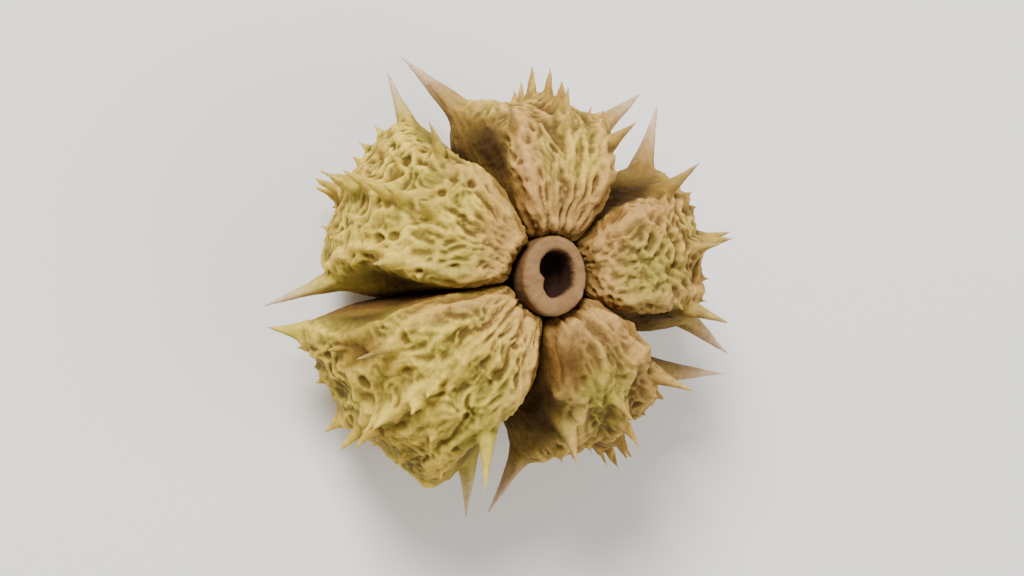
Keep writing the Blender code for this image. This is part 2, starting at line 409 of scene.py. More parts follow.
@dataclass(frozen=True)
class DryRind:
    """Dried, woody rind: matt, straw to green, paler on the ridges and browner in the valleys,
    partly as painted highlight and painted shade.
    """

    tone: Tone
    seed: int
    # Painted shade in the notches between the nutlets.
    notch: str = "#432d0e"
    # Split walls: brown, partly their own colour and partly painted shade between the nutlets.
    split: str = "#6f4d20"
    seam: str = "#755122"
    # Painted shade, darkest far inside the splits.
    deep: str = "#40290f"
    stain: str = "#7d5526"
    warm: str = "#b58a52"
    brown: str = "#523211"
    green: str = "#989136"
    yellow: str = "#dcc04e"
    spine_tip: str = "#e0bda5"
    patch_mm: float = 1.3
    speckle_mm: float = 0.16
    fibre_mm: float = 0.07

    def material(self, name: str) -> Material:
        """Builds the rind's material.

        Args:
            name: The material's name.

        Returns:
            The material, which reads the rind's attributes and Object coordinates.
        """
        light, middle, green, dark, flank, spine = self.tone.value
        material, tree = blank_material(name)
        place = add_node(tree, "ShaderNodeTexCoord").outputs["Object"]
        shifted = add_node(
            tree, "ShaderNodeMapping", Vector=place, Location=(self.seed * 0.01, 0.003, 0.007)
        ).outputs[0]

        def ranged(value: NodeSocket, *limits: float) -> NodeSocket:
            """The value, stretched so that the first two limits become the last two."""
            node = add_node(tree, "ShaderNodeMapRange", Value=value)
            for socket, number in zip(node.inputs[1:5], limits):
                socket.default_value = number
            return node.outputs[0]

        def patches(size_mm: float, detail: float, low: float, high: float) -> NodeSocket:
            """Soft patches of that size, stretched to run from 0 to 1 between low and high."""
            look = {"Scale": 1 / (size_mm * MM), "Detail": detail, "Roughness": 0.6}
            blotch = add_node(tree, "ShaderNodeTexNoise", Vector=shifted, **look)
            return ranged(blotch.outputs[0], low, high, 0.0, 1.0)

        height = painted(tree, "height")
        green_share = patches(self.patch_mm, 3, 0.40, 0.64)
        stained = patches(self.patch_mm * 1.4, 2, 0.5, 0.72)
        colour = mixed(tree, green_share, linear(middle), linear(green))
        # Each layer lies over those before it.
        layers = (
            # The relief's height: ridges lighter as painted highlight, valleys and pits darker as
            # painted shade, over the rind's own tones.
            (ranged(height, 0.45, 0.95, 0.0, 1.0), light),
            (ranged(height, 0.05, 0.5, 0.92, 0.0), dark),
            (ranged(stained, 0.0, 1.0, 0.0, 0.5), self.stain),
            (ranged(painted(tree, "warm"), 0.0, 1.0, 0.0, 0.7), self.warm),
            (ranged(painted(tree, "green"), 0.0, 1.0, 0.0, 0.6), self.green),
            (ranged(painted(tree, "yellow"), 0.0, 1.0, 0.0, 0.55), self.yellow),
            # Brown patches: on nutlet_4 a painted shadow, on nutlet_5 the rind's own brown.
            (ranged(painted(tree, "brown"), 0.0, 1.0, 0.0, 0.95), self.brown),
            # More painted shade in the lowest valleys and pits.
            (ranged(height, 0.0, 0.4, 0.7, 0.0), dark),
            # The sides beyond the splits take the darker flank tint: partly their own colour,
            # partly painted shade.
            (painted(tree, "flank"), flank),
            # Painted shade in the notches between the nutlets.
            (painted(tree, "notch"), self.notch),
            (painted(tree, "seam"), self.seam),
            # Split walls: brown, partly their own colour and partly painted shade between the
            # nutlets.
            (painted(tree, "wall"), self.split),
            # Painted shade, darker further inside the splits.
            (painted(tree, "deep"), self.deep),
            (painted(tree, "spine"), spine),
            (painted(tree, "tip"), self.spine_tip),
        )
        for share, tint in layers:
            colour = mixed(tree, share, colour, linear(tint))
        speckle = ranged(patches(self.speckle_mm, 4, 0.3, 0.7), 0.0, 1.0, 0.74, 1.16)
        shade = add_node(tree, "ShaderNodeCombineColor", Red=speckle, Green=speckle, Blue=speckle)
        colour = mixed(tree, 1.0, colour, shade.outputs[0], "MULTIPLY")

        look = {"Scale": 1 / (self.fibre_mm * MM), "Detail": 5, "Roughness": 0.65}
        fibres = add_node(tree, "ShaderNodeTexNoise", Vector=shifted, **look)
        relief = add_node(
            tree, "ShaderNodeBump", Strength=0.6, Distance=0.035 * MM, Height=fibres.outputs[0]
        )
        shader = add_node(
            tree,
            "ShaderNodeBsdfPrincipled",
            Base_Color=colour,
            Roughness=ranged(fibres.outputs[0], 0.3, 0.7, 0.68, 0.92),
            IOR=1.45,
            Normal=relief.outputs[0],
            Specular_IOR_Level=0.15,
        )
        add_node(tree, "ShaderNodeOutputMaterial", Surface=shader.outputs[0])
        return material


@dataclass(frozen=True)
class Form:
    """A kind of thorn: its foot in millimetres, how finely it is modelled, and its colours.

    spine is how much of the spine's colour it has and the shares of its length where that
    starts and is full. tip is how pale its end is and where that starts.
    """

    width: float
    depth: float
    sides: int
    rings: int
    spine: tuple[float, float, float] = (0.0, 0.0, 1.0)
    tip: tuple[float, float] = (0.0, 0.75)


class Kind(Enum):
    """What a thorn is."""

    LONG_SPINE = Form(1.3, 2.1, 28, 16, (1.0, 0.2, 0.85), (0.9, 0.5))
    SHORT_SPINE = Form(0.95, 0.95, 20, 10, (0.6, 0.4, 1.0), (0.2, 0.75))
    TOOTH = Form(0.62, 0.62, 12, 5, tip=(0.5, 0.75))
    PRICKLE = Form(0.26, 0.26, 8, 3)


@dataclass
class Thorn:
    """A spine or tooth: a hollow-sided cone with an oval foot, which rises from the rind."""

    kind: Kind
    root: Vector
    tip: Vector
    blunt: float = 0.042
    waist: float = 0.3
    bend: float = 0.06
    slack: float = 0.05

    @property
    def form(self) -> Form:
        """The sizes of its kind."""
        return self.kind.value

    @property
    def length(self) -> float:
        """From the root, inside the rind, to the tip."""
        return (self.tip - self.root).length

    def add_to(self, bm: bmesh.types.BMesh) -> None:
        """Adds the thorn's closed shape.

        Args:
            bm: The mesh that gets it.
        """
        made = bmesh.ops.create_cone(
            bm,
            cap_ends=True,
            cap_tris=True,
            segments=self.form.sides,
            radius1=1.0,
            radius2=0.0,
            depth=1.0,
            matrix=Matrix.Translation((0.0, 0.0, 0.5)),
        )
        own = set(made["verts"])
        for ring in range(1, self.form.rings + 1):
            faces = {face for vertex in own for face in vertex.link_faces}
            edges = {edge for face in faces for edge in face.edges}
            height = (ring / (self.form.rings + 1)) ** 0.85
            cut = bmesh.ops.bisect_plane(
                bm,
                geom=[*own, *edges, *faces],
                plane_co=(0.0, 0.0, height),
                plane_no=(0.0, 0.0, 1.0),
            )
            own |= {part for part in cut["geom_cut"] if isinstance(part, bmesh.types.BMVert)}
        axis = self.tip - self.root
        ahead = axis.normalized()
        across = ahead.cross(Vector((0.0, 0.0, 1.0))).normalized()
        up = across.cross(ahead)
        turn = Matrix((across, up, ahead)).transposed()
        for vertex in own:
            x, y, z = vertex.co
            flare = self.waist + (1 - self.waist) * (1 - z)
            round_tip = self.blunt * math.sqrt(max(1 - z, 0.0)) / max(1 - z, 0.02)
            sway = self.bend * self.length * math.sin(math.pi * z)
            local = Vector(
                (
                    x * (flare * self.form.width / 2 + round_tip),
                    y * (flare * self.form.depth / 2 + round_tip) + sway,
                    z * self.length,
                )
            )
            vertex.co = self.root + turn @ local

    def streaks(self, points: Array, seed: int) -> Array:
        """Lines that run along the thorn, from -1 to 1.

        Args:
            points: Rows of x, y, z.
            seed: Picks another pattern.

        Returns:
            One number for each point.
        """
        ahead = np.array((self.tip - self.root).normalized())
        away = points - np.array(self.root)
        along = away @ ahead
        squeezed = away - 0.93 * along[:, None] * ahead
        return clouds(squeezed, 0.16, seed)

    def near(self, points: Array) -> tuple[Array, Array]:
        """How close points are to the thorn.

        Args:
            points: Rows of x, y, z.

        Returns:
            How far along the thorn each point is, from 0 at the root to 1 at the tip, and its
            distance from the thorn's axis against the thorn's thickness there.
        """
        axis = np.array(self.tip - self.root)
        away = points - np.array(self.root)
        along = np.clip(away @ axis / (axis @ axis), 0.0, 1.0)
        sway = self.bend * self.length * np.sin(np.pi * along)
        upward = np.array((0.0, 0.0, 1.0))
        off = np.linalg.norm(away - along[:, None] * axis - sway[:, None] * upward, axis=1)
        left = 1 - along
        flare = self.waist + (1 - self.waist) * left
        thick = left * flare * (self.form.width + self.form.depth) / 4 + self.blunt + self.slack
        return along, off / thick


@dataclass
class Skin:
    """The plain form of a nutlet, as distances outside it. They are negative inside."""

    right_half: float
    left_half: float
    reach: float
    half_width: float
    height: float
    stump_radius: float
    foot_cut: float = 0.2
    split_width: float = 0.3
    axis_hollow: float = 0.25
    round_from: float = 1.5
    squareness: float = 2.4
    back_crown: float = 0.09
    top_crown: float = 0.1
    dimple_depth: float = 0.45
    dimple_radius: float = 0.7
    dimple_width: float = 0.8
    pocket_clearance: float = 0.33
    pocket_floor: float = 3.9
    pocket_wall_foot: float = 4.4
    spine_height: float = 2.75
    spine_shoulder: float = 0.65
    shoulder_spread: float = 1.2
    side_round: float = 0.5
    wall_round: float = 0.25
    edge_round: float = 0.45
    core: Vector = field(default_factory=lambda: Vector((2.45, 0.0, 3.0)))
    spread: Vector = field(default_factory=lambda: Vector((2.2, 1.8, 3.1)))

    def back(self, p: Array) -> Array:
        """How far points lie outside the domed back, top and foot.

        Args:
            p: Rows of x, y, z.

        Returns:
            One distance for each point.
        """
        half_height = (self.height + self.foot_cut) / 2
        middle = (self.height - self.foot_cut) / 2
        x, y, z = p.T
        out = np.maximum(x + self.back_crown * y**2 - self.round_from, 0.0)
        out = out / (self.reach - self.round_from)
        up = (np.abs(z - middle) + self.top_crown * y**2) / half_height
        level = (out**self.squareness + up**self.squareness) ** (1 / self.squareness)
        dimple = self.dimple_depth * bump(self.dimple_radius, self.dimple_width, x)
        return (level - 1) * half_height * 0.9 + dimple

    def from_splits(self, p: Array) -> Array:
        """How far points lie from the nearer of the two splits, inside the nutlet."""
        right, left = math.radians(self.right_half), math.radians(self.left_half)
        from_right = p[:, 0] * math.sin(right) + p[:, 1] * math.cos(right)
        from_left = p[:, 0] * math.sin(left) - p[:, 1] * math.cos(left)
        return np.minimum(from_right, from_left) - self.split_width / 2

    def past_shoulder(self, p: Array) -> Array:
        """How far points lie outside the widest the nutlet gets at their height."""
        rise = self.spine_shoulder * bump(self.spine_height, self.shoulder_spread, p[:, 2])
        return np.abs(p[:, 1]) - (self.half_width + rise)

    def side(self, p: Array) -> Array:
        """How far points lie outside the two sides."""
        return smooth_max(-self.from_splits(p), self.past_shoulder(p), self.side_round)

    def inner(self, p: Array) -> Array:
        """How far points lie inside the pocket for the stump, or past the inner edge.

        Args:
            p: Rows of x, y, z.

        Returns:
            One distance for each point.
        """
        pocket = self.stump_radius + self.pocket_clearance
        rise = ramp(self.pocket_floor, self.pocket_wall_foot, p[:, 2])
        hollow = self.axis_hollow + rise * (pocket - self.axis_hollow)
        return hollow - np.hypot(p[:, 0], p[:, 1])

    def flank(self, p: Array) -> Array:
        """1 where a side is open to the air, beyond the split, and 0 in the split."""
        return ramp(-0.1, 0.3, self.past_shoulder(p) + self.from_splits(p))

    def walls(self, p: Array) -> Array:
        """How far points lie outside the walls of the splits and of the pocket."""
        return smooth_max(self.side(p), self.inner(p), self.wall_round)

    def gap(self, p: Array) -> Array:
        """How far points lie outside the nutlet."""
        return smooth_max(self.back(p), self.walls(p), self.edge_round)

    def openness(self, p: Array) -> Array:
        """1 on the back and top, 0 on the walls of the splits."""
        return ramp(-0.45, 0.05, self.back(p) - self.walls(p))

    def slope(self, p: Array) -> Array:
        """How the gap grows along x, y and z at each point."""
        step = 0.02
        slopes = [self.gap(p + step * axis) - self.gap(p - step * axis) for axis in np.eye(3)]
        return np.stack(slopes, axis=1) / (2 * step)

    def outwards(self, p: Array) -> Array:
        """The unit directions that leave the skin at right angles."""
        slope = self.slope(p)
        return slope / np.linalg.norm(slope, axis=1)[:, None]

    def feet(self, p: Array) -> Array:
        """The points of the skin below points that stand out of it.

        Args:
            p: Rows of x, y, z.

        Returns:
            Rows of x, y, z on the skin.
        """
        for _ in range(5):
            slope = self.slope(p)
            p = p - slope * (self.gap(p) / np.sum(slope * slope, axis=1))[:, None]
        return p

    def cast(self, directions: Array) -> Array:
        """Where rays from the core leave the skin.

        Args:
            directions: Rows of directions on the unit sphere.

        Returns:
            Rows of x, y, z on the skin.
        """
        rays = directions * np.array(self.spread)
        core = np.array(self.core)
        inside = np.zeros(len(rays))
        outside = np.full(len(rays), 2.5)
        for _ in range(24):
            middle = (inside + outside) / 2
            out = self.gap(core + rays * middle[:, None]) > 0
            outside = np.where(out, middle, outside)
            inside = np.where(out, inside, middle)
        return core + rays * inside[:, None]


@dataclass
class Nutlet:
    """One nutlet: its plain form, its thorns, and the relief and colours of its rind."""

    node: str
    facing: float
    right_half: float
    left_half: float
    reach: float
    half_width: float
    tone: Tone
    grain: Grain
    seed: int
    patches: tuple[Patch, ...]
    height: float = 5.95
    stump_radius: float = 0.82
    rows: int = 60
    columns: int = 44
    voxel: float = 0.042
    crest_height: float = 0.2
    margin_height: float = 0.1
    swell_height: float = 0.1
    fine_height: float = 0.06
    brown_patch_depth: float = 0.2
    seam_depth: float = 0.05
    margin_inset: float = 0.3
    crest_width: float = 0.24
    fine_spacing: float = 0.24
    grit_height: float = 0.012
    streak_height: float = 0.03
    shade_height: float = 0.06
    pit_radius: float = 0.1
    prickles: int = 60
    prickle_spacing: float = 0.42
    prickle_lean: float = 0.35
    prickle_length: tuple[float, float] = (0.1, 0.26)
    least_gap: float = 0.29
    long_gap: float = 1.2
    long_root: float = 2.7
    long_sink: float = 0.6
    short_gap: float = 0.45
    short_above: float = 5.2
    short_from: float = 6.0
    short_to: float = 16.0
    short_root: tuple[float, float] = (2.9, 4.3)
    tooth_sink: float = 0.35
    curl: tuple[float, float] = (1.6, 3.0)
    thorns: list[Thorn] = field(default_factory=list)

    def __post_init__(self) -> None:
        """Makes the plain form in the frame's size, and the finer one that shows."""
        halves = (self.right_half, self.left_half)
        sizes = (*halves, self.reach, self.half_width, self.height, self.stump_radius)
        self.frame_skin = Skin(*sizes)
        self.skin = Skin(*sizes, split_width=0.015, pocket_clearance=0.06, edge_round=0.3)

    def frame_points(self, plain: Object) -> Array:
        """The points of the frame's nutlet, in this nutlet's own frame and in millimetres."""
        points = coordinates(plain.data) / MM
        points = np.unique(points.round(4), axis=0)
        turn = Matrix.Rotation(-math.radians(self.facing), 3, "Z")
        return points @ np.array(turn).T

    def thorn_at(self, tip: Array, gap: float) -> Thorn:
        """The thorn that ends at a point of the frame that stands out of the skin.

        Args:
            tip: The thorn's tip.
            gap: How far it stands out.

        Returns:
            A long spine, a short spine or a tooth.
        """
        side = math.copysign(1, tip[1])
        turn = math.atan2(tip[1], tip[0])
        half = self.left_half if side > 0 else self.right_half
        from_split = half - abs(math.degrees(turn))
        end = Vector(tip)
        if gap > self.long_gap and tip[2] < self.skin.spine_height:
            across = side * (self.half_width - self.long_sink)
            root = Vector((self.long_root, across, self.skin.spine_height))
            return Thorn(Kind.LONG_SPINE, root, end)
        near_split = self.short_from < from_split < self.short_to
        if gap > self.short_gap and tip[2] > self.short_above and near_split:
            out, up = self.short_root
            root = Vector((out * math.cos(turn * 0.8), out * math.sin(turn * 0.8), up))
            return Thorn(Kind.SHORT_SPINE, root, end)
        foot = Vector(self.skin.feet(tip[None])[0])
        root = foot - (end - foot).normalized() * self.tooth_sink
        return Thorn(Kind.TOOTH, root, end)

    def find_thorns(self, plain: Object) -> None:
        """Finds the thorns of the frame's nutlet: the points that stand furthest out of it.

        Args:
            plain: The frame's nutlet.
        """
        points = self.frame_points(plain)
        gaps = self.frame_skin.gap(points)
        order = np.argsort(-gaps)
        order = order[gaps[order] > self.least_gap]
        taken = np.zeros(len(points), dtype=bool)
        for index in order:
            if taken[index]:
                continue
            thorn = self.thorn_at(points[index], float(gaps[index]))
            self.thorns.append(thorn)
            along, off = thorn.near(points)
            away = np.linalg.norm(points - points[index], axis=1)
            taken |= (off < 2.2) & (along > 0.05) | (away < 0.3)

    def add_prickles(self) -> None:
        """Adds small prickles between the teeth, thickest on the back and margins."""
        draw = random.Random(self.seed)
        rays = np.array([draw.gauss(0, 1) for _ in range(self.prickles * 12)]).reshape(-1, 3)
        rays /= np.linalg.norm(rays, axis=1)[:, None]
        feet = self.skin.cast(rays)
        open_skin = self.skin.openness(feet)
        aways = self.skin.outwards(feet)
        placed = [np.array(thorn.tip) for thorn in self.thorns]
        for foot, away, bare in zip(feet, aways, open_skin):
            nearest = min(np.linalg.norm(foot - other) for other in placed)
            crowded = nearest < self.prickle_spacing
            if bare < 0.6 or foot[2] < 0.7 or foot[0] < 2.0 or crowded:
                continue
            placed.append(foot)
            most = self.prickle_lean
            lean = Vector([draw.uniform(-most, most) for _ in range(3)])
            ahead = (Vector(away) + lean).normalized()
            length = draw.uniform(*self.prickle_length)
            root, tip = Vector(foot) - ahead * 0.2, Vector(foot) + ahead * length
            self.thorns.append(Thorn(Kind.PRICKLE, root, tip))
            if len(placed) > self.prickles + 30:
                break

    def plain_body(self) -> bmesh.types.BMesh:
        """The nutlet's form without thorns: a cube's mesh cast onto the skin."""
        bm = bmesh.new()
        bmesh.ops.create_cube(bm, size=2.0)
        upright = [e for e in bm.edges if abs(e.verts[0].co.z - e.verts[1].co.z) > 1]
        bmesh.ops.subdivide_edges(bm, edges=upright, cuts=self.rows - 1)
        level = [e for e in bm.edges if abs(e.verts[0].co.z - e.verts[1].co.z) < 0.001]
        bmesh.ops.subdivide_edges(bm, edges=level, cuts=self.columns - 1, use_grid_fill=True)
        rays = np.array([vertex.co for vertex in bm.verts])
        rays = np.tan(rays * math.pi / 4)
        rays /= np.linalg.norm(rays, axis=1)[:, None]
        for vertex, point in zip(bm.verts, self.skin.cast(rays)):
            vertex.co = point
        return bm

    def fused_mesh(self) -> Mesh:
        """The body and its thorns as one closed mesh of small, even faces."""
        bm = self.plain_body()
        for thorn in self.thorns:
            thorn.add_to(bm)
        mesh = bpy.data.meshes.new(self.node + "_rough")
        bm.to_mesh(mesh)
        bm.free()
        rough = add_object(mesh.name, mesh)
        fuse = rough.modifiers.new("Fuse", "REMESH")
        fuse.mode = "VOXEL"
        fuse.voxel_size = self.voxel * 1.0
        graph = bpy.context.evaluated_depsgraph_get()
        whole = bpy.data.meshes.new_from_object(rough.evaluated_get(graph))
        bpy.data.objects.remove(rough)
        bpy.data.meshes.remove(mesh)
        drop_scraps(whole)
        move_to(whole, eased(whole, coordinates(whole), 2))
        return whole

    def thorn_shares(self, p: Array) -> dict[str, Array]:
        """How much of each point belongs to thorns, from 0 to 1.

        Args:
            p: Rows of x, y, z.

        Returns:
            thorn, any thorn's surface; large, a spine's; spine, the spine's colour; tip, a
            spine's pale end; foot, the hollow round a thorn's foot; fillet, the wider hollow
            round a long spine's foot; plain, the smooth rind round a long spine's foot.
        """
        names = ("thorn", "large", "spine", "tip", "foot", "fillet", "plain")
        shares = {name: np.zeros(len(p)) for name in names}
        gap = self.skin.gap(p)
        standing = ramp(0.0, 0.25, gap)
        for thorn in self.thorns:
            reach = thorn.length + (1.2 if thorn.kind is Kind.LONG_SPINE else 0.6)
            close = np.linalg.norm(p - np.array(thorn.tip), axis=1) < reach
            along, off = thorn.near(p[close])
            on = 1 - ramp(1.2, 2.0, off)
            (coloured, start, full), (pale, pale_from) = thorn.form.spine, thorn.form.tip
            found = {
                "thorn": on * standing[close],
                "foot": bump(0.1, 0.3, gap[close]) * (1 - ramp(1.8, 3.0, off)),
                "spine": coloured * on * ramp(start, full, along),
                "tip": pale * on * ramp(pale_from, 1.0, along),
            }
            if thorn.kind in (Kind.LONG_SPINE, Kind.SHORT_SPINE):
                found["large"] = found["thorn"]
            if thorn.kind is Kind.LONG_SPINE:
                found["plain"] = (1 - ramp(1.0, 2.6, off)) * ramp(0.05, 0.3, along)
                found["fillet"] = bump(0.15, 0.45, gap[close]) * (1 - ramp(1.6, 3.2, off))
            for name, values in found.items():
                shares[name][close] = np.maximum(shares[name][close], values)
        shares["tip"] *= standing
        return shares

    def grain_space(self, p: Array) -> Array:
        """Turns points to how far they lie along the grain, across it and into the nutlet.

        The grain runs from the stalk end over the back to the tip, and fans out from the
        fruit's axis.

        Args:
            p: Rows of x, y, z.

        Returns:
            Rows of distances along, across and into the nutlet, in millimetres.
        """
        x, y, z = p.T
        out, up = x - self.curl[0], z - self.curl[1]
        along = np.arctan2(up, out) * 2.6
        across = np.arctan2(y, x) * 3.3
        return np.stack((along, across, np.hypot(out, up)), axis=1)

    def carve(self, mesh: Mesh) -> None:
        """Raises the folds, crest and margins, sinks the pits and paints the attributes.

        Args:
            mesh: The fused mesh.
        """
        p = coordinates(mesh)
        open_skin = self.skin.openness(p)
        flank = self.skin.flank(p) * (1 - open_skin)
        shares = self.thorn_shares(p)
        p += shares["foot"][:, None] * (eased(mesh, p, 8) - p)
        p += shares["fillet"][:, None] * (eased(mesh, p, 30) - p)
        move_to(mesh, p)
        away = self.skin.outwards(p)
        x, y, z = p.T
        tints = {tint: np.zeros(len(p)) for tint in Tint}
        for patch in self.patches:
            spot = bump(0.0, patch.radius, np.hypot(x - patch.x, y - patch.y))
            tints[patch.tint] = np.maximum(tints[patch.tint], spot * ramp(3.2, 4.2, z))

        relief: Relief = self.grain.value
        space = self.grain_space(p)
        space[:, 0] += 0.22 * clouds(p, 0.7, self.seed + 3)
        space[:, 1] += 0.16 * clouds(p, 0.55, self.seed + 4)
        stretch = np.array((1 / relief.fold_stretch, 1.0, 0.6))
        broad = folds(space * stretch / relief.fold_spacing, self.seed)
        fine = folds(space * (0.8, 1.0, 0.6) / self.fine_spacing, self.seed + 8)
        spacing = relief.pit_spacing
        patchy = ramp(-0.35, 0.15, clouds(p, 0.9, self.seed + 6))
        centre_away = scattered(space / spacing, self.seed) * spacing
        pit = (1 - ramp(0.5, 1.5, centre_away / self.pit_radius)) * patchy

        to_wall = -self.skin.walls(p)
        broken = 0.7 + 0.6 * clouds(p, 0.45, self.seed + 5)
        margin = bump(self.margin_inset, 0.12, to_wall) * open_skin * broken
        seam = (1 - ramp(0.07, 0.24, to_wall)) * open_skin * (1 - self.skin.flank(p))
        knobs = 0.8 + 0.8 * clouds(p, 0.42, self.seed + 7)
        crest = bump(0.0, self.crest_width, y + 0.1 * knobs) * ramp(1.9, 3.4, x) * knobs
        swell = clouds(p, 1.3, self.seed + 1)
        grit = clouds(p, 0.12, self.seed + 2)

        bare = 1 - shares["large"]
        rough = (open_skin + 0.3 * flank) * (1 - 0.8 * shares["thorn"])
        rough *= (1 - 0.75 * shares["plain"]) * (1 - 0.7 * tints[Tint.BROWN])
        rise = (
            relief.fold_height * (broad - 0.5) * rough
            + self.fine_height * (fine - 0.5) * rough
            - relief.pit_depth * pit * rough
            + self.margin_height * margin * bare
            + self.crest_height * crest * open_skin * bare
            + self.swell_height * swell * (0.3 + 0.7 * open_skin) * bare
            - self.brown_patch_depth * tints[Tint.BROWN]
            - self.seam_depth * seam
        )
        texture = self.grit_height * grit * (1 - 0.5 * shares["thorn"])
        for thorn in self.thorns:
            if thorn.kind is Kind.LONG_SPINE:
                close = np.linalg.norm(p - np.array(thorn.tip), axis=1) < thorn.length + 0.4
                lined = np.maximum(shares["thorn"], shares["plain"])[close]
                texture[close] += self.streak_height * lined * thorn.streaks(p[close], self.seed)
        moved = p + away * rise[:, None] + normals(mesh) * texture[:, None]
        moved[:, 2] = np.maximum(moved[:, 2], 0.0)
        move_to(mesh, moved)

        # How far each point stands above its smoothed neighbours; the material turns this into
        # painted highlight on ridges and painted shade in valleys and pits.
        raised = np.sum((moved - eased(mesh, moved, 12)) * normals(mesh), axis=1)
        height = 0.42 + raised / self.shade_height + 0.3 * (broad - 0.5) * rough - 0.6 * pit * rough
        # shut: the split walls, painted brown, partly as painted shade between the nutlets.
        shut = (1 - ramp(0.1, 0.7, open_skin)) * (1 - flank)
        # How far into a split a point lies, for painted shade there.
        depth = 1 - ramp(-1.6, -0.5, self.skin.back(p))
        # How far into the notches between nutlets a point lies, for painted shade there.
        notch = ramp(0.0, 0.6, -self.skin.back(p)) * (1 - 0.8 * shares["plain"])
        ring_away = np.hypot(x, y)
        edge = bump(0.28, 0.24, to_wall) * (1 - ramp(2.4, 4.2, ring_away))
        warm = np.maximum(1 - ramp(1.0, 2.6, ring_away), edge)
        paint(
            mesh,
            height=height + 0.35 * margin,
            # The sides' share of the darker flank tint, partly painted shade.
            flank=0.8 * flank,
            notch=flank * notch,
            seam=0.8 * seam * bare,
            wall=shut,
            deep=depth * shut,
            warm=warm * open_skin * bare,
            spine=shares["spine"] * shares["thorn"],
            tip=shares["tip"],
            **{tint.value: spot for tint, spot in tints.items()},
        )

    def build(self, plain: Object) -> Object:
        """Builds and dresses the nutlet.

        Args:
            plain: The frame's nutlet.

        Returns:
            The nutlet's object, which stands for the frame's node.
        """
        self.find_thorns(plain)
        self.add_prickles()
        mesh = self.fused_mesh()
        self.carve(mesh)
        turn = Matrix.Rotation(math.radians(self.facing), 4, "Z")
        mesh.transform(Matrix.Scale(MM, 4) @ turn)
        mesh.shade_smooth()
        mesh.name = self.node + "_rind"
        rind = add_object(mesh.name, mesh)
        mesh.materials.append(DryRind(self.tone, self.seed).material("Dry rind of " + self.node))
        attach(rind, "root")
        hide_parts(self.node)
        LOG.info("%s: %d faces, %d thorns", rind.name, len(mesh.polygons), len(self.thorns))
        return rind


@dataclass(frozen=True)
class DryStalk:
    """The broken end of a dried stalk: matt, fibrous, pinkish tan, with painted shade that makes
    its hole nearly black.
    """

    rim: str = "#7f5f39"
    rim_pale: str = "#906c49"
    side: str = "#755430"
    # Painted shade that darkens the hole to nearly black.
    hole: str = "#2c1407"
    fibre_mm: float = 0.06

    def material(self, name: str) -> Material:
        """Builds the stalk's material.

        Args:
            name: The material's name.

        Returns:
            The material, which reads the stump's attributes and Object coordinates.
        """
        material, tree = blank_material(name)
        place = add_node(tree, "ShaderNodeTexCoord").outputs["Object"]
        look = {"Scale": 1 / (self.fibre_mm * MM), "Detail": 5, "Roughness": 0.65}
        fine = add_node(tree, "ShaderNodeTexNoise", Vector=place, **look)
        rim, hole, fibre = (painted(tree, name) for name in ("rim", "hole", "fibre"))
        rim_colour = mixed(tree, fibre, linear(self.rim), linear(self.rim_pale))
        colour = mixed(tree, rim, linear(self.side), rim_colour)
        # Painted shade in the hole.
        colour = mixed(tree, hole, colour, linear(self.hole))
        relief = add_node(
            tree, "ShaderNodeBump", Strength=0.7, Distance=0.035 * MM, Height=fine.outputs[0]
        )
        shader = add_node(
            tree,
            "ShaderNodeBsdfPrincipled",
            Base_Color=colour,
            Roughness=0.84,
            IOR=1.45,
            Normal=relief.outputs[0],
            Specular_IOR_Level=0.3,
        )
        add_node(tree, "ShaderNodeOutputMaterial", Surface=shader.outputs[0])
        return material


